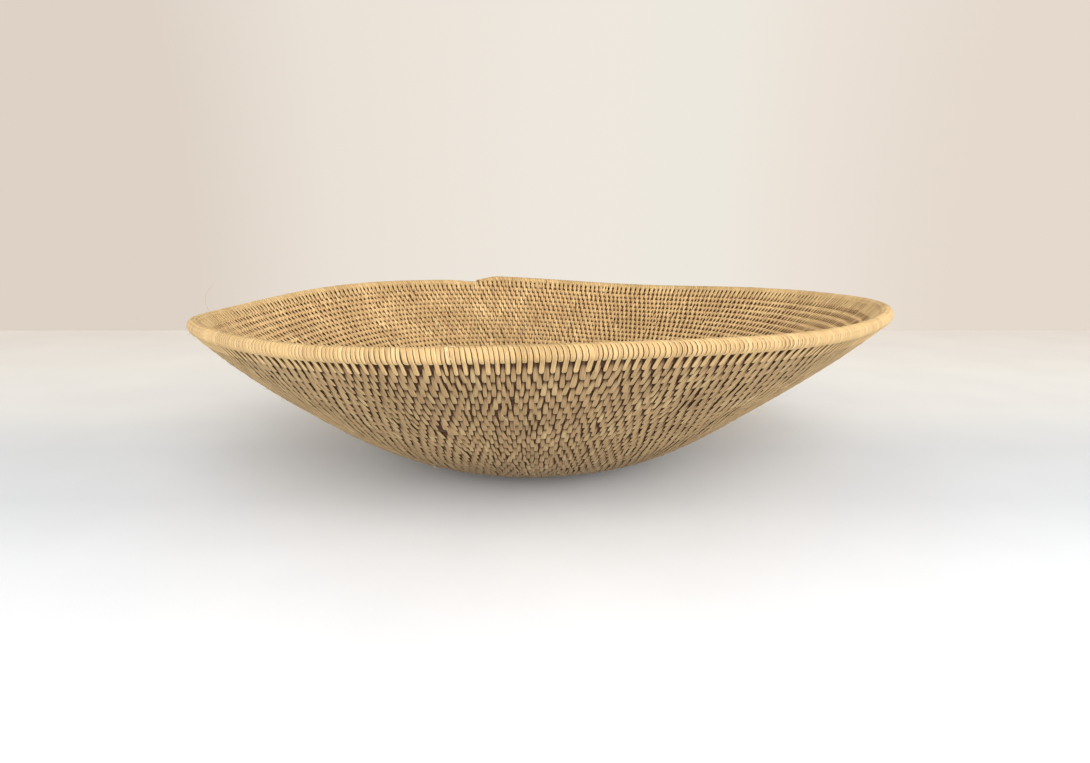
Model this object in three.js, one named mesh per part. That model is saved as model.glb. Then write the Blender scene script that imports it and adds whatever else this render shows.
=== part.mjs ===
// A coiled winnowing basket: one long coil of plant stems wound in a spiral from a start knot
// up to a thicker rim, each turn sewn to the turn below it. Every turn is a solid of its own,
// and so are the start knot, the rim's core and the splint binding wrapped round that core.
// The origin is the middle of the knot's flat underside, on the ground. +Z is up.
import * as THREE from "three";
import { mergeVertices } from "three/addons/utils/BufferGeometryUtils.js";

// Driving dimensions, in millimetres and degrees.
const TURNS = 44; // from the centre to the end of the rim, with the knot's own turn
const COIL_PITCH = 5.95; // along the wall, from one turn to the next
const WALL_THICKNESS = 6.4;
const RIM_THICKNESS = 7.6; // over the binding
const RIM_CORE_THICKNESS = 5.2;
const CLEARANCE = 0.5; // between neighbouring solids, where the belly does not narrow it
const COIL_END_ANGLE = 108.2; // where the coil ends, counter-clockwise from +X
const RIM_TAIL_LENGTH = 26; // over which the rim's end thins out
const RIM_HEAD_LENGTH = 30; // over which the rim's start grows from an ordinary turn
const RIM_TAIL_SCALE = 0.6;
const RIM_HEAD_SCALE = 0.78;

// How steeply the wall rises: distance along the wall from the centre, and slope.
const WALL_SLOPES = [
  [0, 0],
  [30, 0],
  [80, 16.5],
  [125, 30],
  [160, 36.5],
  [200, 38],
  [230, 41.5],
  [264, 48.5],
];
const WALL_LENGTH = TURNS * COIL_PITCH;

// The basket has gone slightly out of true: waves of the rim's height, as the number of
// crests round the rim, the height of a crest, and the direction of the first crest.
const RIM_WAVES = [
  [1, 0.8, -44],
  [2, 2.9, -50],
  [3, 1.9, 3],
  [4, 0.8, 30],
  [5, 0.5, -8],
  [6, 0.6, -26],
];
const WARP_START = 60; // the distance along the wall from which it is out of true
const BELLY = -4.6; // how far the wall's middle stands off to one side, along X

// Facets: a short way round near the centre takes fewer of them than a long one.
const FACETS_BY_RADIUS = [
  [20, 8],
  [80, 16],
  [Infinity, 32],
];
const RIM_SECTION_SIDES = 8;
const PROFILE_STEP = 1;

const stemColor = 0xb08a52;
const splintColor = 0xd9b67c;
const rimColor = 0xe6c78d;

const { degToRad, clamp, lerp, smoothstep } = THREE.MathUtils;

// Slope of the wall at a distance along it, in radians.
function slopeAt(along) {
  for (let i = 1; i < WALL_SLOPES.length; i++) {
    const [start, slopeBefore] = WALL_SLOPES[i - 1];
    const [end, slopeAfter] = WALL_SLOPES[i];
    if (along <= end) {
      const part = clamp((along - start) / (end - start), 0, 1);
      return degToRad(lerp(slopeBefore, slopeAfter, part));
    }
  }
  return degToRad(WALL_SLOPES.at(-1)[1]);
}

// Radius and height of the wall's middle surface at each step along it.
function traceWall() {
  const wall = [{ radius: 0, height: WALL_THICKNESS / 2 }];
  for (let along = 0; along < WALL_LENGTH + COIL_PITCH; along += PROFILE_STEP) {
    const slope = slopeAt(along + PROFILE_STEP / 2);
    const last = wall.at(-1);
    wall.push({
      radius: last.radius + PROFILE_STEP * Math.cos(slope),
      height: last.height + PROFILE_STEP * Math.sin(slope),
    });
  }
  return wall;
}

const WALL = traceWall();

function wallAt(along) {
  const step = Math.floor(along / PROFILE_STEP);
  const part = along / PROFILE_STEP - step;
  return {
    radius: lerp(WALL[step].radius, WALL[step + 1].radius, part),
    height: lerp(WALL[step].height, WALL[step + 1].height, part),
  };
}

// How much of the rim's waves has built up at a distance along the wall.
function warpAt(along) {
  return Math.max(0, (along - WARP_START) / (WALL_LENGTH - WARP_START));
}

function rimWave(angle) {
  let height = 0;
  for (const [crests, crestHeight, direction] of RIM_WAVES)
    height += crestHeight * Math.cos(crests * (angle - degToRad(direction)));
  return height;
}

// A point of the coil: at an angle, at a distance along the wall, and then moved up the wall
// and out of it.
function coilPoint(angle, along, up, out) {
  const { radius, height } = wallAt(along);
  const slope = slopeAt(along);
  const r = radius + up * Math.cos(slope) + out * Math.sin(slope);
  const z = height + up * Math.sin(slope) - out * Math.cos(slope);
  const warp = warpAt(along);
  return new THREE.Vector3(
    r * Math.cos(angle) + BELLY * Math.sin(Math.PI * warp),
    r * Math.sin(angle),
    z + rimWave(angle) * warp,
  );
}

function angleAt(turn) {
  return degToRad(COIL_END_ANGLE) + 2 * Math.PI * (turn - TURNS);
}

function facetsOf(turn) {
  const { radius } = wallAt((turn + 1) * COIL_PITCH);
  return FACETS_BY_RADIUS.find(([limit]) => radius < limit)[1];
}

// One turn's stations: places along the coil, from its start to its end, that leave half of
// the clearance at each.
function stationsOf(turn) {
  const facets = facetsOf(turn);
  const { radius } = wallAt((turn + 0.5) * COIL_PITCH);
  const trim = CLEARANCE / 2 / (2 * Math.PI * radius);
  const stations = [];
  for (let i = 0; i <= facets; i++) stations.push(turn + i / facets);
  stations[0] += trim;
  stations[facets] -= trim;
  return stations;
}

// A closed surface through rings of points. Each ring has the same number of points, and
// close says what shuts the two ends.
function skin(rings, close) {
  const size = rings[0].length;
  const points = rings.flat();
  const index = [];
  for (let ring = 0; ring + 1 < rings.length; ring++)
    for (let i = 0; i < size; i++) {
      const here = ring * size + i;
      const beside = ring * size + ((i + 1) % size);
      index.push(here, beside, beside + size);
      index.push(here, beside + size, here + size);
    }
  close(index, size, points.length - size);
  const geometry = new THREE.BufferGeometry().setFromPoints(points);
  geometry.setIndex(index);
  return mergeVertices(geometry);
}

function closeWithCaps(index, size, lastRing) {
  for (let i = 1; i + 1 < size; i++) {
    index.push(0, i + 1, i);
    index.push(lastRing, lastRing + i, lastRing + i + 1);
  }
}

// The section of a turn: flat on the wall's two faces, and pointed towards its neighbours.
function coilSection() {
  const halfPitch = (COIL_PITCH - CLEARANCE) / 2;
  const halfFlat = COIL_PITCH / 4;
  const halfWall = WALL_THICKNESS / 2;
  return [
    [halfPitch, 0],
    [halfFlat, halfWall],
    [-halfFlat, halfWall],
    [-halfPitch, 0],
    [-halfFlat, -halfWall],
    [halfFlat, -halfWall],
  ];
}

function roundSection(radius) {
  const section = [];
  for (let i = 0; i < RIM_SECTION_SIDES; i++) {
    const turn = (2 * Math.PI * (i + 0.5)) / RIM_SECTION_SIDES;
    section.push([radius * Math.cos(turn), radius * Math.sin(turn)]);
  }
  return section;
}

function makeCoilTurn(turn) {
  const section = coilSection();
  const rings = stationsOf(turn).map((station) =>
    section.map(([up, out]) =>
      coilPoint(angleAt(station), station * COIL_PITCH, up, out),
    ),
  );
  return skin(rings, closeWithCaps);
}

// The knot fills the room inside the first sewn turn, so its edge is one turn of the spiral.
function makeStartKnot() {
  const stations = stationsOf(1);
  stations[0] = 1;
  const inset = (COIL_PITCH + CLEARANCE) / 2;
  const rings = [0, WALL_THICKNESS].map((height) =>
    stations.map((station) => {
      const radius = station * COIL_PITCH - inset;
      const angle = angleAt(station);
      const x = radius * Math.cos(angle);
      const y = radius * Math.sin(angle);
      return new THREE.Vector3(x, y, height);
    }),
  );
  return skin(rings, closeWithCaps);
}

// How thick the rim is at a station, against its full thickness.
function rimScale(station) {
  const { radius } = wallAt(WALL_LENGTH);
  const fromEnd = (TURNS - station) * 2 * Math.PI * radius;
  const fromStart = (station - (TURNS - 1)) * 2 * Math.PI * radius;
  const tail = lerp(RIM_TAIL_SCALE, 1, smoothstep(fromEnd, 0, RIM_TAIL_LENGTH));
  const head = lerp(
    RIM_HEAD_SCALE,
    1,
    smoothstep(fromStart, 0, RIM_HEAD_LENGTH),
  );
  return Math.min(tail, head);
}

// One ring of the rim: it sits on the turn below, however thick it is there.
function rimRing(station, radius) {
  const scale = rimScale(station);
  const topOfTurnBelow = (station - 1) * COIL_PITCH + (COIL_PITCH - CLEARANCE) / 2;
  const along = topOfTurnBelow + CLEARANCE + (scale * RIM_THICKNESS) / 2;
  return roundSection(scale * radius).map(([up, out]) =>
    coilPoint(angleAt(station), along, up, out),
  );
}

// The rim's stations, with extra ones where its two ends change thickness.
function rimStations() {
  const stations = stationsOf(TURNS - 1);
  const step = 1 / facetsOf(TURNS - 1);
  const first = TURNS - 1 + step / 2;
  const last = TURNS - step / 2;
  return [stations[0], first, ...stations.slice(1, -1), last, stations.at(-1)];
}

function makeRimCore() {
  const rings = rimStations().map((station) =>
    rimRing(station, RIM_CORE_THICKNESS / 2),
  );
  return skin(rings, closeWithCaps);
}

// The binding is a sleeve: out along its outside and back along its inside.
function makeRimBinding() {
  const boreRadius = RIM_CORE_THICKNESS / 2 + CLEARANCE;
  const stations = rimStations();
  const outside = stations.map((station) =>
    rimRing(station, RIM_THICKNESS / 2),
  );
  const inside = stations.map((station) => rimRing(station, boreRadius));
  return skin([...outside, ...inside.reverse(), outside[0]], () => {});
}

function splint(color) {
  return new THREE.MeshStandardMaterial({ color, roughness: 0.75, metalness: 0 });
}

function addPiece(basket, name, geometry, color) {
  geometry.computeVertexNormals();
  const mesh = new THREE.Mesh(geometry, splint(color));
  mesh.name = name;
  basket.add(mesh);
}

const basket = new THREE.Group();
addPiece(basket, "start_knot", makeStartKnot(), splintColor);
for (let turn = 1; turn < TURNS - 1; turn++) {
  const name = "coil_turn_" + String(turn).padStart(2, "0");
  addPiece(basket, name, makeCoilTurn(turn), splintColor);
}
addPiece(basket, "rim_core", makeRimCore(), stemColor);
addPiece(basket, "rim_binding", makeRimBinding(), rimColor);

export default basket;
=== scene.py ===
import math

import bpy
import numpy as np
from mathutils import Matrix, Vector


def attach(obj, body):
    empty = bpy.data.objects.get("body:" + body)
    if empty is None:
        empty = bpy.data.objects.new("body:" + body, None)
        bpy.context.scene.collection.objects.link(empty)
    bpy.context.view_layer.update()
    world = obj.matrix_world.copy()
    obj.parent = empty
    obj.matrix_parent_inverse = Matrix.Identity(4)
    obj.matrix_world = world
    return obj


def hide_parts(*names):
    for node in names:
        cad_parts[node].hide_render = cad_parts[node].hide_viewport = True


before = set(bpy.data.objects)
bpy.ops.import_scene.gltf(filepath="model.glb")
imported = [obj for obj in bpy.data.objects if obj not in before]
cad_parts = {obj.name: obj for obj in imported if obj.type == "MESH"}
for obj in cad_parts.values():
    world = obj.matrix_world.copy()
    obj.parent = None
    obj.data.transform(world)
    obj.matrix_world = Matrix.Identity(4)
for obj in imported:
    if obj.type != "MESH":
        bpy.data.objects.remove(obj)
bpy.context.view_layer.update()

MM = 0.001

# The coil and the wall, as in the CAD model.
TURNS = 44
COIL_PITCH = 5.95 * MM
WALL_THICKNESS = 6.4 * MM
RIM_THICKNESS = 7.6 * MM
CLEARANCE = 0.5 * MM
COIL_END_ANGLE = math.radians(108.2)
RIM_TAIL_LENGTH = 26 * MM
RIM_HEAD_LENGTH = 30 * MM
RIM_TAIL_SCALE = 0.3  # thinner than in the CAD model, whose end has to stay solid
RIM_HEAD_SCALE = 0.78
WALL_LENGTH = TURNS * COIL_PITCH
SLOPE_PLACES = np.array((0, 30, 80, 125, 160, 200, 230, 264)) * MM
SLOPE_DEGREES = (0, 0, 16.5, 30, 36.5, 38, 41.5, 48.5)
WARP_START = 60 * MM
BELLY = -4.6 * MM
RIM_WAVES = (
    (1, 0.8, -44),
    (2, 2.9, -50),
    (3, 1.9, 3),
    (4, 0.8, 30),
    (5, 0.5, -8),
    (6, 0.6, -26),
)

# The sewing.
STITCH_PITCH = 4.65 * MM
FIRST_STITCHED_TURN = 1
STITCH_REACH = 5.7 * MM  # from the joint between its two turns to where it passes the wall
STITCH_OUT = 2.6 * MM  # its middle, out of the wall's middle surface
STITCH_WIDTH = 0.475  # as a share of the way to the next stitch
INNER_STITCH_WIDTH = 0.53
STITCH_THICKNESS = 0.85 * MM
THINNEST_SHARE = 0.6  # of that thickness, however narrow the stitch is there
INNER_TILT = 0.10  # radians: on the inside the splints lie tilted a little, all one way
NEAREST_TO_CENTRE = 0.4 * MM
STITCH_ROW_LENGTH = 1.2 * MM  # the grain's way from one row of STITCH_WAY to the next
MOST_STITCHES = 640  # in one piece, to keep it under 200,000 triangles

# How the stitches are set, against their pitch.
PLACE_JITTER = 0.06
FOLLOWING = 0.72  # how closely they keep to the spacing of the turn below
CLOSEST = 0.62
ROOM_FOR_EXTRA = 1.26
LOST_STITCHES = (27.72, 33.41, 41.05)  # worn through and gone

# How much one stitch differs from the next, as standard deviations.
LEAN_JITTER = 0.08  # against the pitch, at its two ends on the outside
ASIDE_JITTER = 0.04  # against the pitch
LIFT_JITTER = 0.02
WIDTH_JITTER = 0.05
ROLL_JITTER = 0.08  # radians

# The rim's wraps.
WRAP_WIDTH = 0.475  # as a share of the way to the next long wrap
WRAP_THICKNESS = 1.15 * MM
WRAP_DARK_EDGE = 1.15  # how wide the painted shade along a wrap's edges is, as the last number in a row of STITCH_WAY
WRAP_WIDTH_JITTER = 0.04
WRAP_ROLL_JITTER = 0.06  # radians
WRAP_ROW_LENGTH = 1.8 * MM
WRAP_FOOT = 0.16  # in radii of the rim: lower on it than this, a short wrap gets painted shade

# The bundle of stems.
STEM_BUNDLE_ALONG = 3.0 * MM  # half-size along the wall
STEM_BUNDLE_OUT = 2.3 * MM  # from its middle to the wall's outside
STEM_BUNDLE_IN = 1.5 * MM  # from its middle to the wall's inside
STEM_SIDES = 10
STEM_RING_STEP = COIL_PITCH * 0.5
STEM_LEAST_RADIUS = 2 * MM  # nearer to the centre the rings come no closer together
STEM_SHADE_OUT = 1.45  # how much painted shade the stems get where the sewing keeps out the light, on either face
STEM_SHADE_IN = 1.2
STEMS_START = 0.3
STEMS_CUT = 30  # where the inner piece of the coil ends and the outer piece starts
STEMS_END = TURNS - 0.003  # just inside the last wrap
STEM_END_IN_TURNS = 0.0028  # the stems' last few millimetres are rounded off

SEED = 7


def cumulative(values, step):
    middles = (values[1:] + values[:-1]) / 2
    return np.concatenate(([0.0], np.cumsum(middles) * step))


PROFILE_STEP = 0.5 * MM
ALONG = np.arange(0, WALL_LENGTH + 3 * COIL_PITCH, PROFILE_STEP)
SLOPE = np.radians(np.interp(ALONG, SLOPE_PLACES, SLOPE_DEGREES))
RADIUS = cumulative(np.cos(SLOPE), PROFILE_STEP)
HEIGHT = WALL_THICKNESS / 2 + cumulative(np.sin(SLOPE), PROFILE_STEP)


def rim_wave(angle):
    height = np.zeros_like(angle)
    for crests, crest_height, direction in RIM_WAVES:
        height += crest_height * MM * np.cos(crests * (angle - math.radians(direction)))
    return height


def place(angle, along, out):
    """Points of the wall's three numbers, as an array with x, y and z last."""
    radius = np.interp(along, ALONG, RADIUS)
    slope = np.interp(along, ALONG, SLOPE)
    height = np.interp(along, ALONG, HEIGHT) - out * np.cos(slope)
    radius = radius + out * np.sin(slope)
    warp = np.clip((along - WARP_START) / (WALL_LENGTH - WARP_START), 0, None)
    x = radius * np.cos(angle) + BELLY * np.sin(np.pi * warp)
    y = radius * np.sin(angle)
    z = height + rim_wave(angle) * warp
    return np.stack((x, y, z), axis=-1)


def angle_at(turn):
    return COIL_END_ANGLE + 2 * np.pi * (turn - TURNS)


def round_direction(angle):
    return np.stack((-np.sin(angle), np.cos(angle), np.zeros_like(angle)), axis=-1)


def radius_at(turn):
    return np.interp(turn * COIL_PITCH, ALONG, RADIUS)


def turn_length(turn):
    return 2 * np.pi * radius_at(turn)


def rim_scale(turn):
    """How thick the rim is, against its full thickness."""
    length_of_turn = turn_length(TURNS)
    from_end = (TURNS - turn) * length_of_turn
    from_start = (turn - (TURNS - 1)) * length_of_turn
    tail = RIM_TAIL_SCALE + (1 - RIM_TAIL_SCALE) * smooth(from_end / RIM_TAIL_LENGTH)
    head = RIM_HEAD_SCALE + (1 - RIM_HEAD_SCALE) * smooth(from_start / RIM_HEAD_LENGTH)
    return np.minimum(tail, head)


def smooth(share):
    share = np.clip(share, 0, 1)
    return share * share * (3 - 2 * share)


def rim_middle(turn):
    """How far along the wall the rim's middle is, resting on the turn below."""
    top_of_turn_below = (turn - 0.5) * COIL_PITCH + CLEARANCE / 2
    return top_of_turn_below + rim_scale(turn) * RIM_THICKNESS / 2


# ---- meshes -------------------------------------------------------------------------------


def unit(vectors):
    return vectors / np.linalg.norm(vectors, axis=-1, keepdims=True)


def sweep(centres, side, half_width, half_thickness, section, roll=0.0):
    """Rings of a section carried along centres. side is the rough direction of its width."""
    tangent = unit(np.gradient(centres, axis=0))
    side = unit(side - np.sum(side * tangent, axis=-1, keepdims=True) * tangent)
    normal = np.cross(tangent, side)
    roll = np.broadcast_to(roll, half_width.shape)[:, None]
    turned_side = side * np.cos(roll) + normal * np.sin(roll)
    turned_normal = normal * np.cos(roll) - side * np.sin(roll)
    across = section[None, :, 0, None] * (turned_side * half_width[:, None])[:, None]
    up = section[None, :, 1, None] * (turned_normal * half_thickness[:, None])[:, None]
    return centres[:, None] + across + up


def ring_faces(rings, size):
    """Quads that join rings of points, one ring after another."""
    ring = np.arange(rings - 1)[:, None] * size
    point = np.arange(size)[None]
    beside = (point + 1) % size
    corners = (ring + point, ring + beside, ring + size + beside, ring + size + point)
    return np.stack(corners, axis=-1).reshape(-1, 4)


def make_mesh(name, points, quads, **attributes):
    """A smooth mesh object with one value for each point under each attribute's name."""
    mesh = bpy.data.meshes.new(name)
    mesh.vertices.add(len(points))
    mesh.vertices.foreach_set("co", np.asarray(points, np.float32).ravel())
    mesh.loops.add(quads.size)
    mesh.loops.foreach_set("vertex_index", np.asarray(quads, np.int32).ravel())
    mesh.polygons.add(len(quads))
    mesh.polygons.foreach_set("loop_start", np.arange(0, quads.size, 4, dtype=np.int32))
    mesh.update(calc_edges=True)
    mesh.polygons.foreach_set("use_smooth", np.ones(len(quads), bool))
    for key, values in attributes.items():
        values = np.asarray(values, np.float32)
        kind = "FLOAT_VECTOR" if values.ndim == 2 else "FLOAT"
        field = "vector" if values.ndim == 2 else "value"
        layer = mesh.attributes.new(key, kind, "POINT")
        layer.data.foreach_set(field, values.ravel())
    piece = bpy.data.objects.new(name, mesh)
    bpy.context.collection.objects.link(piece)
    return piece


# ---- where the stitches go ------------------------------------------------------------------


def stitch_places(rng):
    """Turn counts of all stitches. Each new one goes about midway between two stitches of the
    turn below, and an extra one is squeezed in wherever there is room for it, because a wider
    turn needs more of them."""
    places = []
    turn = float(FIRST_STITCHED_TURN)
    while turn < FIRST_STITCHED_TURN + 1:
        places.append(turn)
        turn += STITCH_PITCH / turn_length(turn)
    below = 0
    while places[-1] < TURNS:
        pitch = STITCH_PITCH / turn_length(places[-1])
        between = 1 + (places[below] + places[below + 1]) / 2
        gap = (between - places[-1]) / pitch + rng.normal(0, PLACE_JITTER)
        if gap > ROOM_FOR_EXTRA:
            gap /= 2
        else:
            gap = 1 + (gap - 1) * FOLLOWING
            below += 1
        places.append(places[-1] + max(gap, CLOSEST) * pitch)
    places = np.array(places[:-1])
    lost = [np.argmin(np.abs(places - turn)) for turn in LOST_STITCHES]
    return np.delete(places, lost)


# One stitch, from under its lower turn up the inside, over its upper turn and down the outside:
# how much of the step to the next stitch is done, height between the passes, distance out of
# the wall (inside is negative), width, how near it is to the rounded end of its tongue, how
# much painted shade it gets where it passes through the wall, and how wide the painted shade
# along its two edges is.
STITCH_WAY = np.array(
    (
        (0.00, -1.00, 0.00, 0.70, 0.0, 1.0, 1.0),
        (0.36, -0.89, -0.62, 0.82, 0.0, 0.3, 0.6),
        (0.42, -0.70, -1.06, 1.12, 0.0, 0.0, 0.0),
        (0.47, -0.30, -1.14, 0.88, 0.0, 0.0, 1.6),
        (0.53, 0.22, -1.08, 0.86, 0.0, 0.0, 1.6),
        (0.58, 0.66, -0.98, 1.12, 0.0, 0.0, 0.0),
        (0.64, 0.88, -0.58, 0.82, 0.0, 0.3, 0.6),
        (1.00, 1.00, 0.00, 0.44, 0.0, 1.0, 1.0),
        (1.00, 0.99, 0.40, 0.44, 0.0, 1.0, 1.0),
        (1.00, 0.88, 0.80, 0.54, 0.0, 0.8, 1.0),
        (1.00, 0.60, 0.97, 0.82, 0.0, 0.32, 0.6),
        (1.00, 0.20, 1.03, 0.97, 0.0, 0.10, 0.3),
        (1.00, -0.30, 1.09, 1.00, 0.0, 0.0, 0.4),
        (1.00, -0.62, 1.13, 1.06, 0.0, 0.0, 0.5),
        (1.00, -0.78, 1.13, 0.98, 0.4, 0.0, 0.7),
        (1.00, -0.89, 1.08, 0.80, 0.85, 0.0, 0.9),
        (1.00, -0.96, 0.96, 0.52, 1.0, 0.2, 1.0),
        (1.00, -1.00, 0.68, 0.34, 1.0, 0.8, 1.0),
        (1.00, -1.00, 0.35, 0.34, 1.0, 1.0, 1.0),
    )
)

OPEN_OUT = 0.85  # of the way out to the wall's face: a wrap is free of painted shade from here
EDGE_START = 0.8  # of a splint's half-width: the painted shade along its edge lies beyond this

# A splint's section: across it and up from its middle, as shares of half its size.
SPLINT_SECTION = np.array(
    (
        (-1.0, 0.0),
        (-0.74, -0.7),
        (0.0, -0.8),
        (0.74, -0.7),
        (1.0, 0.0),
        (0.74, 0.78),
        (0.0, 1.0),
        (-0.74, 0.78),
    )
)


def splint_values(rng, half_width, out, tongue_end, shade, dark_edge, length_step):
    """The material's values on a splint's points. out is 1 where it lies on the wall's face."""
    stitches, stations = out.shape
    size = len(SPLINT_SECTION)
    count = stitches * stations
    tone = np.repeat(rng.random(stitches), stations * size)
    # edge: where a splint gets a painted highlight and then painted shade, along its sides and at
    # its tongue's end
    reach = EDGE_START + (1 - EDGE_START) * np.reshape(dark_edge, (-1, 1))
    edge = np.abs(SPLINT_SECTION[:, 0]) * reach
    edge = np.maximum(edge, np.reshape(tongue_end, (-1, 1))).ravel()
    # painted shade where the splint passes through the wall
    hidden = np.repeat(shade.ravel(), size)
    outside = np.repeat(smooth(out * 2).ravel(), size)
    across = (half_width.reshape(-1, 1) * SPLINT_SECTION[None, :, 0]).ravel()
    offset = np.repeat(rng.random(stitches), stations * size)
    length = np.repeat(np.arange(count) * length_step, size)
    grain = np.stack((across + offset, length, offset * 3), axis=-1)
    return dict(tone=tone, edge=edge, hidden=hidden, outside=outside, grain=grain)


def room_of(places):
    """The way from each stitch to the next, in metres."""
    return (np.diff(places) * turn_length(places[:-1]))[:, None]


def open_shade(out):
    """The painted shade of a wrap, which is open to the light where it lies on the wall's face."""
    return 1 - np.clip(np.abs(out) / OPEN_OUT, 0, 1)


def splint_rings(centres, angle, half_width, half_thickness, roll):
    """Rings of a splint laid through centres, flat on the wall but for its roll."""
    return sweep(
        centres.reshape(-1, 3),
        round_direction(angle).reshape(-1, 3),
        half_width.ravel(),
        half_thickness.ravel(),
        SPLINT_SECTION,
        np.broadcast_to(roll, angle.shape).ravel(),
    )


def sew(places, rng):
    """Rings of the splint that sews these stitches, and its material values."""
    columns = (np.tile(column, (len(places) - 1, 1)) for column in STITCH_WAY.T)
    step, height, out, width, tongue_end, shade, dark_edge = columns
    one_each = (len(step), 1)
    turn = places[:-1, None] + step * np.diff(places)[:, None]
    lean = rng.normal(0, LEAN_JITTER, one_each) * height * (out > 0)
    aside = rng.normal(0, ASIDE_JITTER, one_each) + lean
    pitch_in_turns = STITCH_PITCH / turn_length(turn)
    angle = angle_at(turn + aside * pitch_in_turns)
    along = (turn - 0.5) * COIL_PITCH + height * STITCH_REACH
    along = np.maximum(along, NEAREST_TO_CENTRE)
    lift = 1 + rng.normal(0, LIFT_JITTER, one_each)
    centres = place(angle, along, out * STITCH_OUT * lift)
    full_width = room_of(places) * np.where(out < 0, INNER_STITCH_WIDTH, STITCH_WIDTH)
    half_width = full_width / 2 * width * (1 + rng.normal(0, WIDTH_JITTER, one_each))
    half_thickness = STITCH_THICKNESS / 2 * np.clip(width, THINNEST_SHARE, None)
    tilt = -INNER_TILT * np.clip(-out, 0, 1)
    roll = rng.normal(0, ROLL_JITTER, one_each) + tilt
    rings = splint_rings(centres, angle, half_width, half_thickness, roll)
    values = splint_values(
        rng, half_width, out, tongue_end, shade, dark_edge, STITCH_ROW_LENGTH
    )
    return rings, values


# A wrap of the rim: step done, the angle round the rim's own middle in degrees, where 0 is
# outside and 90 on top, width, and how near it is to the rounded end of its tongue.
# The long wrap goes down over the turn below as well, as a stitch does, though inside it steps
# less and is wider.
SHORT_WRAP = np.array(
    (
        (0.00, 270, 0.95, 0.0),
        (0.06, 235, 1.05, 0.0),
        (0.20, 205, 1.00, 0.0),
        (0.38, 170, 1.00, 0.0),
        (0.56, 135, 1.00, 0.0),
        (0.74, 100, 1.00, 0.0),
        (0.88, 65, 1.00, 0.0),
        (0.97, 30, 1.00, 0.0),
        (1.00, -5, 1.00, 0.0),
        (1.00, -32, 0.98, 0.3),
        (1.00, -50, 0.84, 0.8),
        (1.00, -64, 0.58, 1.0),
        (1.00, -76, 0.40, 1.0),
    )
)
LONG_WRAP_RIM = np.array(
    (
        (0.22, 205, 1.3, 0.0),
        (0.38, 170, 1.0, 0.0),
        (0.56, 135, 1.0, 0.0),
        (0.74, 100, 1.0, 0.0),
        (0.88, 65, 1.0, 0.0),
        (0.97, 30, 1.0, 0.0),
        (1.00, -5, 1.0, 0.0),
        (1.00, -30, 1.0, 0.0),
    )
)
LONG_WRAP_INSIDE = STITCH_WAY[:4, :5] * (0.4, 1, 1, 1.6, 1)
LONG_WRAP_OUTSIDE = STITCH_WAY[-7:, :5]


def rim_point(turn, around):
    """Along and out for a place round the rim's own middle."""
    reach = rim_scale(turn) * (RIM_THICKNESS - WRAP_THICKNESS) / 2
    return rim_middle(turn) + reach * np.sin(around), reach * np.cos(around)


def lay_wraps(places, turn, along, out, width, on_face, tongue_end, rng):
    """Rings of wraps whose way is known, and their material values."""
    one_each = (len(turn), 1)
    jitter = 1 + rng.normal(0, WRAP_WIDTH_JITTER, one_each)
    half_width = room_of(places) * WRAP_WIDTH / 2 * width * jitter
    half_thickness = np.full_like(half_width, WRAP_THICKNESS / 2)
    angle = angle_at(turn)
    roll = rng.normal(0, WRAP_ROLL_JITTER, one_each)
    rings = splint_rings(place(angle, along, out), angle, half_width, half_thickness, roll)
    tongue_end = np.broadcast_to(tongue_end, turn.shape)
    shade = open_shade(on_face)
    dark_edge = np.full_like(turn, WRAP_DARK_EDGE)
    values = splint_values(
        rng, half_width, on_face, tongue_end, shade, dark_edge, WRAP_ROW_LENGTH
    )
    return rings, values


def short_wraps(places, rng):
    step, around, width, tongue_end = SHORT_WRAP.T
    around = np.radians(around)
    turn = places[:-1, None] + np.diff(places)[:, None] * (step - 0.5)
    along, out = rim_point(turn, around)
    on_face = smooth((np.sin(around) + 1) / WRAP_FOOT) * np.sign(np.cos(around))
    on_face = np.broadcast_to(on_face, turn.shape)
    return lay_wraps(places, turn, along, out, width, on_face, tongue_end, rng)


def long_wraps(places, rng):
    first = len(LONG_WRAP_INSIDE)
    last = first + len(LONG_WRAP_RIM)
    rows = (LONG_WRAP_INSIDE, LONG_WRAP_RIM, LONG_WRAP_OUTSIDE)
    step, width, tongue_end = (
        np.concatenate([part[:, column] for part in rows]) for column in (0, -2, -1)
    )
    turn = places[:-1, None] + np.diff(places)[:, None] * step
    along = np.empty_like(turn)
    out = np.empty_like(turn)
    below_the_rim = ((slice(0, first), LONG_WRAP_INSIDE), (slice(last, None), LONG_WRAP_OUTSIDE))
    for part, way in below_the_rim:
        along[:, part] = (turn[:, part] - 0.5) * COIL_PITCH + way[:, 1] * STITCH_REACH
        out[:, part] = way[:, 2] * STITCH_OUT
    around = np.radians(LONG_WRAP_RIM[:, 1])
    along[:, first:last], out[:, first:last] = rim_point(turn[:, first:last], around)
    on_face = np.where(along < rim_middle(turn), out / STITCH_OUT, np.sign(out))
    return lay_wraps(places, turn, along, out, width, on_face, tongue_end, rng)


def splint_piece(name, rings, values):
    quads = ring_faces(len(rings), len(SPLINT_SECTION))
    return make_mesh(name, rings.reshape(-1, 3), quads, **values)


# ---- the coil of stems ----------------------------------------------------------------------


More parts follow.
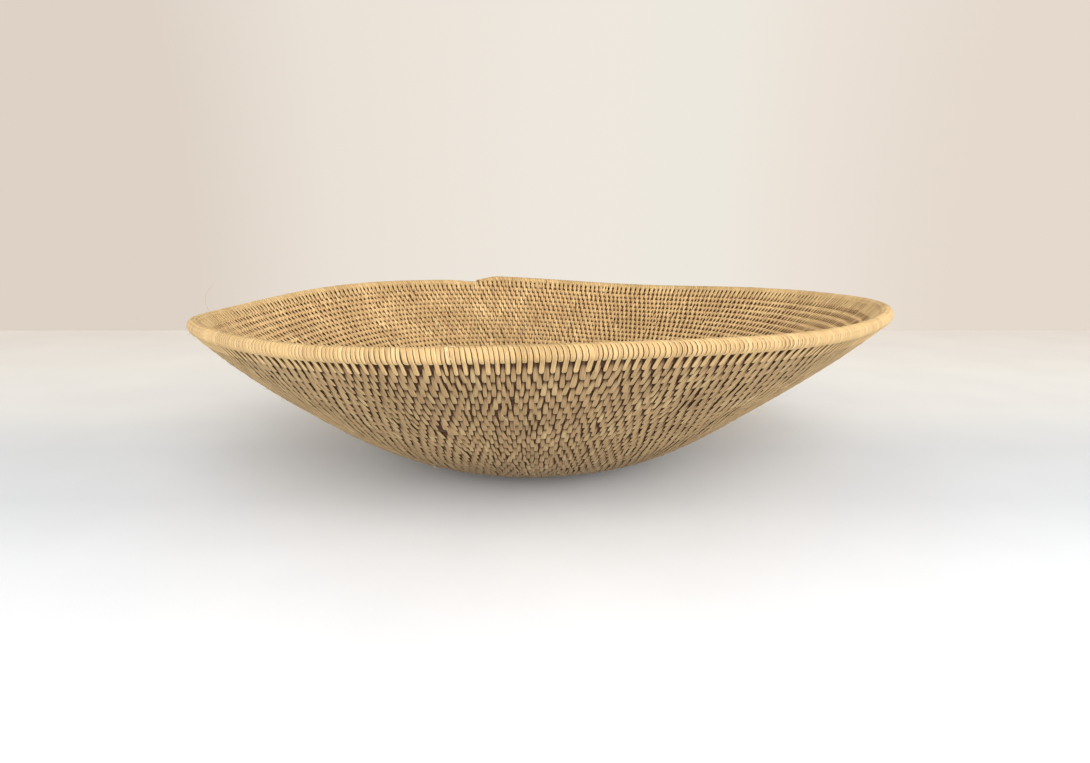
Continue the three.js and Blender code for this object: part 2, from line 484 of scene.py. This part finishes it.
def stem_rings(turns):
    """Rings of the stem bundle: an oval that fills its pitch, and is round inside the rim."""
    around = np.linspace(0, 2 * np.pi, STEM_SIDES, endpoint=False)
    on_rim = (turns >= TURNS - 1)[:, None]
    rounding = np.sqrt(np.clip((STEMS_END - turns) / STEM_END_IN_TURNS, 0, 1))[:, None]
    rim_reach = rounding * rim_scale(turns)[:, None] * (RIM_THICKNESS - WRAP_THICKNESS) / 2
    reach_along = np.where(on_rim, rim_reach, STEM_BUNDLE_ALONG)
    face_reach = np.where(np.sin(around) > 0, STEM_BUNDLE_OUT, STEM_BUNDLE_IN)[None]
    reach_out = np.where(on_rim, rim_reach, face_reach)
    middle = np.where(on_rim, rim_middle(turns)[:, None], turns[:, None] * COIL_PITCH)
    along = np.maximum(middle + reach_along * np.cos(around), 0)
    out = reach_out * np.sin(around)
    angle = np.broadcast_to(angle_at(turns)[:, None], along.shape)
    return place(angle, along, out), around


def stem_piece(name, first_turn, last_turn):
    turns = [first_turn]
    while turns[-1] < last_turn:
        radius = max(radius_at(turns[-1]), STEM_LEAST_RADIUS)
        turns.append(turns[-1] + STEM_RING_STEP / (2 * np.pi * radius))
    turns = np.minimum(turns, last_turn)
    rings, around = stem_rings(turns)
    size = len(around)
    face = np.sin(around)
    # Painted shade: the stems are dark all round but for the crest of their inner face.
    hidden = np.where(face > 0, STEM_SHADE_OUT - face, STEM_SHADE_IN + face)
    hidden = np.tile(hidden, len(turns))
    along_coil = np.repeat(np.arange(len(turns)) * STEM_RING_STEP, size)
    round_coil = np.tile(np.cos(around), len(turns)) * STEM_BUNDLE_OUT
    side = np.tile(face, len(turns)) * STEM_BUNDLE_OUT
    grain = np.stack((round_coil, along_coil, side), axis=-1)
    quads = ring_faces(len(turns), size)
    return make_mesh(name, rings.reshape(-1, 3), quads, hidden=hidden, grain=grain)


# ---- loose fibres ---------------------------------------------------------------------------

# Fibres that stand off: where each starts, as an angle in degrees, and millimetres along and
# out of the wall, its thickness, and its steps from there in X, Y and Z, in millimetres too.
LOOSE_FIBRES = (
    (189, 261.0, 0.0, 0.16, ((-3, 0, 7.5), (1, 0, 5), (3, 0, 4), (4, 0, 5))),
    (329, 170.0, 3.3, 0.35, ((4.4, 0, -3.1), (3.1, 0, 3.7), (2.5, 0, 3.7))),
    (243, 130.0, 3.0, 0.80, ((0.3, -0.4, -1.4), (-0.7, -0.2, -2.0))),
    (242, 228.0, 3.5, 0.45, ((1.3, -0.4, 0.8), (1.4, 0, 0.9))),
    (261, 262.4, -0.5, 0.60, ((0.5, -2.2, -0.8), (1.5, -1.6, -2.0), (1.2, -0.4, -1.6))),
    (262, 262.2, -1.5, 0.30, ((-0.8, -1.5, 1.2), (-1.8, -1.8, 0.2))),
    (203, 196.0, 3.0, 0.14, ((-3, -2, -2), (-3, -1, 1), (-2, 0, 3))),
    (200, 176.0, 3.0, 0.16, ((-2, -2, -3), (2, -1, -3), (3, 0, -1))),
    (334, 150.0, 3.0, 0.14, ((3, 0, -2), (4, 0, 0), (3, 0, 2))),
)

# Short hairs. Their starts, steps and radii are in millimetres. They start at a fixed distance
# out, so about a third of them stand 0.1 to 0.7 mm off the splints.
FUZZ_COUNT = 90
FUZZ_CLUSTERED = 0.5  # the share of them that is on one side
FUZZ_CLUSTER = (192, 14)  # the middle and spread of that side, in degrees
FUZZ_ON_RIM = 0.15  # the share of them that starts on the rim
FUZZ_RIM_START = (259, 3.4)  # along and out
FUZZ_WALL_ALONG = (90, 255)
FUZZ_WALL_OUT = 2.9
FUZZ_OUTWARD = 0.5  # how strongly a hair sets off straight out, against the jitter of its start
FUZZ_START_JITTER = 0.6
FUZZ_BEND_JITTER = 0.45
FUZZ_STEPS = 4
FUZZ_STEP_LENGTH = (0.7, 2.0)
FUZZ_RADIUS = (0.04, 0.08)

FIBRE_SIDES = 5
FIBRE_TIP = 0.35  # its thickness against the thickness at its root
FIBRE_SIDE = (0.31, 0.87, 0.38)  # any direction that no fibre runs along


def tube(points, radius):
    """Rings of a thin tube along points, thinner towards its end."""
    around = np.linspace(0, 2 * np.pi, FIBRE_SIDES, endpoint=False)
    section = np.stack((np.cos(around), np.sin(around)), axis=-1)
    taper = radius * np.linspace(1, FIBRE_TIP, len(points))
    side = np.broadcast_to(np.array(FIBRE_SIDE), points.shape)
    return sweep(points, side, taper, taper, section)


def rounded(points):
    """The same way with its corners cut off twice."""
    for _ in range(2):
        near = points[:-1] * 0.75 + points[1:] * 0.25
        far = points[:-1] * 0.25 + points[1:] * 0.75
        cut = np.stack((near, far), axis=1).reshape(-1, 3)
        points = np.concatenate((points[:1], cut, points[-1:]))
    return points


def fuzz_way(rng):
    """A short hair out of the wall's outside, or now and then off the rim."""
    middle, spread = FUZZ_CLUSTER
    angle = rng.normal(middle, spread) if rng.random() < FUZZ_CLUSTERED else rng.uniform(0, 360)
    if rng.random() < FUZZ_ON_RIM:
        along, out = FUZZ_RIM_START
    else:
        along, out = rng.uniform(*FUZZ_WALL_ALONG), FUZZ_WALL_OUT
    along, out = along * MM, out * MM
    angle = np.radians(angle)
    start = place(angle, along, out)
    outward = place(angle, along, out + 1 * MM) - start
    heading = unit(unit(outward) * FUZZ_OUTWARD + rng.normal(0, FUZZ_START_JITTER, 3))
    points = [start]
    for _ in range(FUZZ_STEPS):
        heading = unit(heading + rng.normal(0, FUZZ_BEND_JITTER, 3))
        points.append(points[-1] + heading * rng.uniform(*FUZZ_STEP_LENGTH) * MM)
    return np.array(points)


def fibre_piece(name, rng):
    ways = [(fuzz_way(rng), rng.uniform(*FUZZ_RADIUS) * MM) for _ in range(FUZZ_COUNT)]
    for angle, along, out, thickness, steps in LOOSE_FIBRES:
        start = place(math.radians(angle), along * MM, out * MM)
        offsets = np.cumsum(np.array(((0, 0, 0), *steps)) * MM, axis=0)
        ways.append((start + offsets, thickness / 2 * MM))
    points, quads, tones = [], [], []
    count = 0
    for way, radius in ways:
        rings = tube(rounded(way), radius)
        quads.append(ring_faces(len(rings), rings.shape[1]) + count)
        points.append(rings.reshape(-1, 3))
        tones.append(np.full(len(points[-1]), rng.random()))
        count += len(points[-1])
    points = np.concatenate(points)
    return make_mesh(name, points, np.concatenate(quads), tone=np.concatenate(tones))


# ---- materials ------------------------------------------------------------------------------


class Nodes:
    """Short names for making the nodes of a material or of the sky."""

    def __init__(self, owner, shader):
        owner.use_nodes = True
        self.owner = owner
        self.tree = owner.node_tree
        self.shader = self.tree.nodes[shader]

    def new(self, kind, **settings):
        node = self.tree.nodes.new(kind)
        for key, value in settings.items():
            setattr(node, key, value)
        return node

    def link(self, output, socket):
        self.tree.links.new(output, socket)

    def attribute(self, name):
        return self.new("ShaderNodeAttribute", attribute_name=name)

    def parts(self, vector):
        node = self.new("ShaderNodeSeparateXYZ")
        self.link(vector, node.inputs["Vector"])
        return node.outputs

    def stretched(self, vector, scale):
        node = self.new("ShaderNodeMapping")
        self.link(vector, node.inputs["Vector"])
        node.inputs["Scale"].default_value = scale
        return node.outputs["Vector"]

    def noise(self, vector, scale, detail=2.0):
        node = self.new("ShaderNodeTexNoise")
        self.link(vector, node.inputs["Vector"])
        node.inputs["Scale"].default_value = scale
        node.inputs["Detail"].default_value = detail
        return node.outputs["Fac"]

    def ramp(self, factor, *stops):
        node = self.new("ShaderNodeValToRGB")
        self.link(factor, node.inputs["Fac"])
        elements = node.color_ramp.elements
        while len(elements) < len(stops):
            elements.new(0.5)
        for element, (position, color) in zip(elements, stops):
            element.position = position
            element.color = color
        return node.outputs["Color"]

    def mix(self, factor, one, other, blend="MIX"):
        node = self.new("ShaderNodeMix", data_type="RGBA", blend_type=blend)
        for value, socket in ((factor, 0), (one, 6), (other, 7)):
            if isinstance(value, (tuple, float)):
                node.inputs[socket].default_value = value
            else:
                self.link(value, node.inputs[socket])
        return node.outputs[2]

    def remap(self, value, low, high, new_low, new_high):
        node = self.new("ShaderNodeMapRange")
        self.link(value, node.inputs["Value"])
        for key, number in (
            ("From Min", low),
            ("From Max", high),
            ("To Min", new_low),
            ("To Max", new_high),
        ):
            node.inputs[key].default_value = number
        return node.outputs["Result"]

    def bump(self, height, distance, strength=1.0):
        node = self.new("ShaderNodeBump")
        self.link(height, node.inputs["Height"])
        node.inputs["Distance"].default_value = distance
        node.inputs["Strength"].default_value = strength
        self.link(node.outputs["Normal"], self.shader.inputs["Normal"])


def rgb(red, green, blue):
    """A linear colour from one written as 0 to 255."""
    linear = [((v / 255 + 0.055) / 1.055) ** 2.4 for v in (red, green, blue)]
    return (*linear, 1.0)


def grey(level):
    return (level, level, level, 1.0)


WHITE = rgb(255, 255, 255)
PALE_ROOT = (rgb(198, 160, 112), rgb(217, 180, 126), rgb(236, 205, 148))  # dull, common, bright
RIM_ROOT = (rgb(196, 162, 110), rgb(210, 177, 122), rgb(228, 198, 145))
# Painted shade where the splints pass through the wall: outside, on the rim, and inside.
PALE_ROOT_PAINTED_SHADE = rgb(70, 44, 14)
RIM_ROOT_PAINTED_SHADE = rgb(84, 54, 14)
INNER_PAINTED_SHADE = rgb(100, 60, 16)
# Painted shade along the splints' edges and tongue ends, inside and outside.
INNER_PAINTED_EDGE_SHADE = rgb(118, 76, 28)
OUTER_PAINTED_EDGE_SHADE = rgb(76, 50, 20)
OUTSIDE_PAINTED_SHADE = (0.54, 0.545, 0.55, 1.0)  # painted shade: what the outside's colours are multiplied by, as the outside faces away from the light above
# The same painted shade, lighter, on the rim's outside.
RIM_OUTSIDE_PAINTED_SHADE = grey(0.83)
# Painted shade on the outside, darker towards the floor.
BASE_PAINTED_SHADE = rgb(70, 54, 34)
BASE_PAINTED_SHADE_HEIGHT = 50 * MM  # over the floor, where the painted shade on the outside ends


def material_nodes(name):
    return Nodes(bpy.data.materials.new(name), "Principled BSDF")


def root_color(m, streaks, where, tones):
    """Each splint's own tone, its streaks, and patches that run across many splints."""
    dull, common, bright = tones
    tone = m.attribute("tone").outputs["Fac"]
    color = m.ramp(tone, (0.0, dull), (0.35, common), (0.75, common), (1.0, bright))
    streak_color = m.ramp(streaks, (0.35, rgb(176, 158, 128)), (0.6, WHITE))
    color = m.mix(0.5, color, streak_color, "MULTIPLY")
    patch_color = m.ramp(m.noise(where, 28.0, 3.0), (0.35, rgb(214, 208, 196)), (0.62, WHITE))
    return m.mix(0.6, color, patch_color, "MULTIPLY")


def with_painted_light(m, color, where, bright, hidden_color, outside_shade):
    """Painted highlight then shade on the edges; painted shade outside, near the floor and at
    passes.
    """
    edge = m.attribute("edge").outputs["Fac"]
    outside = m.attribute("outside").outputs["Fac"]
    # Painted highlight: the splint's edges are paler, where they catch the light.
    color = m.mix(m.remap(edge, 0.5, 0.85, 0.0, 0.7), color, bright)
    # Painted shade on the outside, which faces away from the light above.
    color = m.mix(outside, color, m.mix(1.0, color, outside_shade, "MULTIPLY"))
    # Painted shade along the edges and at the tongues' ends, in the crevices between splints.
    painted_edge_shade = m.mix(outside, INNER_PAINTED_EDGE_SHADE, OUTER_PAINTED_EDGE_SHADE)
    color = m.mix(m.remap(edge, EDGE_START, 1.0, 0.0, 0.9), color, painted_edge_shade)
    # Painted shade on the outside, darker towards the floor.
    base_shade = m.remap(m.parts(where)["Z"], 0.0, BASE_PAINTED_SHADE_HEIGHT, 0.6, 0.0)
    color = m.mix(outside, color, m.mix(base_shade, color, BASE_PAINTED_SHADE))
    # Painted shade where the splint passes through the wall.
    hidden = m.remap(m.attribute("hidden").outputs["Fac"], 0.1, 0.7, 0.0, 0.95)
    return m.mix(hidden, color, m.mix(outside, INNER_PAINTED_SHADE, hidden_color))


def splint_material(name, tones, hidden_color, outside_shade):
    """Split root, with streaks along the strand."""
    m = material_nodes(name)
    grain = m.attribute("grain").outputs["Vector"]
    streaks = m.noise(m.stretched(grain, (2600, 110, 1)), 1.0, 4.0)
    fine = m.noise(m.stretched(grain, (7000, 300, 1)), 1.0, 2.0)
    where = m.new("ShaderNodeTexCoord").outputs["Object"]
    color = root_color(m, streaks, where, tones)
    color = with_painted_light(m, color, where, tones[-1], hidden_color, outside_shade)
    m.link(color, m.shader.inputs["Base Color"])
    m.link(m.remap(streaks, 0.3, 0.7, 0.78, 0.58), m.shader.inputs["Roughness"])
    m.bump(m.mix(0.4, streaks, fine), 0.12 * MM, 0.7)
    return m.owner


def fibre_material(name):
    m = material_nodes(name)
    tone = m.attribute("tone").outputs["Fac"]
    color = m.ramp(
        tone,
        (0.0, rgb(150, 130, 96)),
        (0.6, rgb(206, 186, 146)),
        (1.0, rgb(232, 218, 186)),
    )
    where = m.new("ShaderNodeTexCoord").outputs["Object"]
    mottle = m.ramp(m.noise(where, 900.0, 2.0), (0.35, rgb(190, 176, 150)), (0.6, WHITE))
    m.link(m.mix(0.5, color, mottle, "MULTIPLY"), m.shader.inputs["Base Color"])
    m.shader.inputs["Roughness"].default_value = 0.7
    return m.owner


def stem_material(name):
    """Thin stems lying together: long streaks, and dark where the sewing keeps out the light."""
    m = material_nodes(name)
    grain = m.attribute("grain").outputs["Vector"]
    streaks = m.noise(m.stretched(grain, (1500, 60, 1500)), 1.0, 3.0)
    color = m.ramp(
        streaks,
        (0.3, rgb(132, 92, 42)),
        (0.5, rgb(176, 134, 74)),
        (0.7, rgb(204, 164, 100)),
    )
    hidden = m.remap(m.attribute("hidden").outputs["Fac"], 0.1, 0.45, 0.0, 1.0)
    # Painted shade where the sewing keeps out the light.
    m.link(m.mix(hidden, color, rgb(66, 38, 10)), m.shader.inputs["Base Color"])
    m.shader.inputs["Roughness"].default_value = 0.85
    m.bump(streaks, 0.3 * MM, 0.8)
    return m.owner


def floor_material():
    """Pale paint, cooler near by, a faint painted shadow under the basket and warmer further off.
    """
    m = material_nodes("floor_paint")
    where = m.new("ShaderNodeTexCoord").outputs["Object"]
    color = m.ramp(
        m.remap(m.parts(where)["Y"], -0.3, 0.7, 0.0, 1.0),
        (0.0, rgb(250, 252, 255)),
        (0.12, rgb(242, 245, 249)),
        # painted shadow under the basket
        (0.20, rgb(228, 231, 235)),
        (0.30, rgb(227, 229, 231)),
        (0.42, rgb(243, 241, 237)),
        (0.60, rgb(250, 246, 239)),
        (1.0, rgb(250, 240, 229)),
    )
    mottle = m.ramp(m.noise(where, 9.0, 4.0), (0.3, rgb(250, 250, 250)), (0.7, WHITE))
    m.link(m.mix(1.0, color, mottle, "MULTIPLY"), m.shader.inputs["Base Color"])
    m.shader.inputs["Roughness"].default_value = 0.6
    m.bump(m.noise(where, 700.0, 2.0), 0.2 * MM, 0.3)
    return m.owner


# ---- putting it together --------------------------------------------------------------------


def finish_piece(piece, material, slot, *nodes):
    piece.data.materials.append(material)
    if nodes:
        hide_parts(*nodes)
    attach(piece, "root")


def bands_of_turns(places):
    """Groups of whole turns, each with as many stitches as one piece may have."""
    bands = [[FIRST_STITCHED_TURN]]
    for turn in range(FIRST_STITCHED_TURN + 1, TURNS - 1):
        start = bands[-1][0]
        count = np.count_nonzero((places >= start) & (places < turn + 1))
        if count > MOST_STITCHES:
            bands.append([])
        bands[-1].append(turn)
    return bands


def make_sewing(places, rng):
    """One piece for each band. Each stitch goes from one place to the following one."""
    root = splint_material("split_root", PALE_ROOT, PALE_ROOT_PAINTED_SHADE, OUTSIDE_PAINTED_SHADE)
    for band in bands_of_turns(places):
        chosen = places[(places >= band[0]) & (places < band[-1] + 1)]
        following = places[places > chosen[-1]][:1]
        rings, values = sew(np.concatenate((chosen, following)), rng)
        piece = splint_piece("sewing_turns_%02d_to_%02d" % (band[0], band[-1]), rings, values)
        nodes = ["coil_turn_%02d" % turn for turn in band]
        finish_piece(piece, root, "sewn_coil", *nodes)


def make_rim(places, rng):
    root = splint_material("rim_split_root", RIM_ROOT, RIM_ROOT_PAINTED_SHADE, RIM_OUTSIDE_PAINTED_SHADE)
    long_piece = splint_piece("rim_long_wraps", *long_wraps(places, rng))
    finish_piece(long_piece, root, "rim_splint", "rim_binding")
    short_piece = splint_piece("rim_short_wraps", *short_wraps(places, rng))
    finish_piece(short_piece, root, "rim_splint")


def make_basket():
    rng = np.random.default_rng(SEED)
    places = stitch_places(rng)
    sewn = places[places < TURNS - 1]
    make_sewing(sewn, rng)
    make_rim(places[places >= sewn[-1]], rng)  # from the last stitch, so that no stems lie bare
    stems = stem_material("bundled_stems")
    inner_stems = stem_piece("inner_stem_coil", STEMS_START, STEMS_CUT)
    finish_piece(inner_stems, stems, "foundation_stems", "start_knot")
    outer_stems = stem_piece("outer_stem_coil", STEMS_CUT, STEMS_END)
    finish_piece(outer_stems, stems, "foundation_stems", "rim_core")
    fibres = fibre_piece("loose_fibres", rng)
    finish_piece(fibres, fibre_material("loose_root_fibre"), "sewn_coil")


# ---- the studio -----------------------------------------------------------------------------

FLOOR_X = (-3, 3)
FLOOR_Y = (-3, 0.68)
FLOOR_LEVEL = -0.2 * MM
WINDOW_PLACE = (0.25, -1.3, 0.68)
WINDOW_SIZE = 1.3
WINDOW_POWER = 20  # watts
LIGHT_FROM_LEFT = grey(2.4)
LIGHT_FROM_RIGHT = grey(2.6)
LIGHT_FROM_ABOVE = (0.45, 0.45, 0.445, 1.0)
LIGHT_FROM_FRONT = 2.1  # times as strong as from behind
CAMERA_PLACE = (4.0 * MM, -486 * MM, 157.7 * MM)
CAMERA_LOOKS_DOWN = 12.13  # degrees
CAMERA_SENSOR = 36  # millimetres wide
CAMERA_LENS = 21.851  # millimetres


def make_floor():
    (left, right), (near, far) = FLOOR_X, FLOOR_Y
    corners = [(left, near), (right, near), (right, far), (left, far)]
    corners = np.array([(x, y, FLOOR_LEVEL) for x, y in corners])
    floor = make_mesh("floor", corners, np.array([[0, 1, 2, 3]]))
    floor.data.materials.append(floor_material())


def make_sky():
    """A warm wall behind the basket, more light from both sides and the front, less from above."""
    sky = Nodes(bpy.data.worlds.new("studio"), "Background")
    direction = sky.parts(sky.new("ShaderNodeTexCoord").outputs["Generated"])
    wall = sky.ramp(
        sky.remap(direction["X"], -1.0, 1.0, 0.0, 1.0),
        (0.03, LIGHT_FROM_LEFT),
        (0.17, rgb(222, 210, 198)),
        (0.27, rgb(222, 210, 198)),
        (0.35, rgb(234, 225, 214)),
        (0.50, rgb(238, 231, 221)),
        (0.62, rgb(237, 232, 222)),
        (0.69, rgb(235, 224, 213)),
        (0.76, rgb(229, 217, 205)),
        (0.83, rgb(229, 217, 205)),
        (0.97, LIGHT_FROM_RIGHT),
    )
    upward = sky.remap(direction["Z"], 0.3, 0.6, 0.0, 1.0)
    sky.link(sky.mix(upward, wall, LIGHT_FROM_ABOVE), sky.shader.inputs["Color"])
    frontward = sky.remap(direction["Y"], -0.25, -0.85, 1.0, LIGHT_FROM_FRONT)
    sky.link(frontward, sky.shader.inputs["Strength"])
    bpy.context.scene.world = sky.owner


def make_window_light():
    data = bpy.data.lights.new("window_light", "AREA")
    data.shape = "DISK"
    data.size = WINDOW_SIZE
    data.energy = WINDOW_POWER
    light = bpy.data.objects.new("window_light", data)
    light.location = WINDOW_PLACE
    light.rotation_euler = (-Vector(WINDOW_PLACE)).to_track_quat("-Z", "Y").to_euler()
    bpy.context.collection.objects.link(light)


def make_camera():
    """Half a metre from the basket's middle, a little above its rim, looking slightly down."""
    data = bpy.data.cameras.new("camera")
    data.sensor_width = CAMERA_SENSOR
    data.lens = CAMERA_LENS
    camera = bpy.data.objects.new("camera", data)
    camera.location = CAMERA_PLACE
    camera.rotation_euler = (math.radians(90 - CAMERA_LOOKS_DOWN), 0, 0)
    bpy.context.collection.objects.link(camera)
    bpy.context.scene.camera = camera
    bpy.context.scene.view_settings.view_transform = "Standard"


make_basket()
make_floor()
make_sky()
make_window_light()
make_camera()
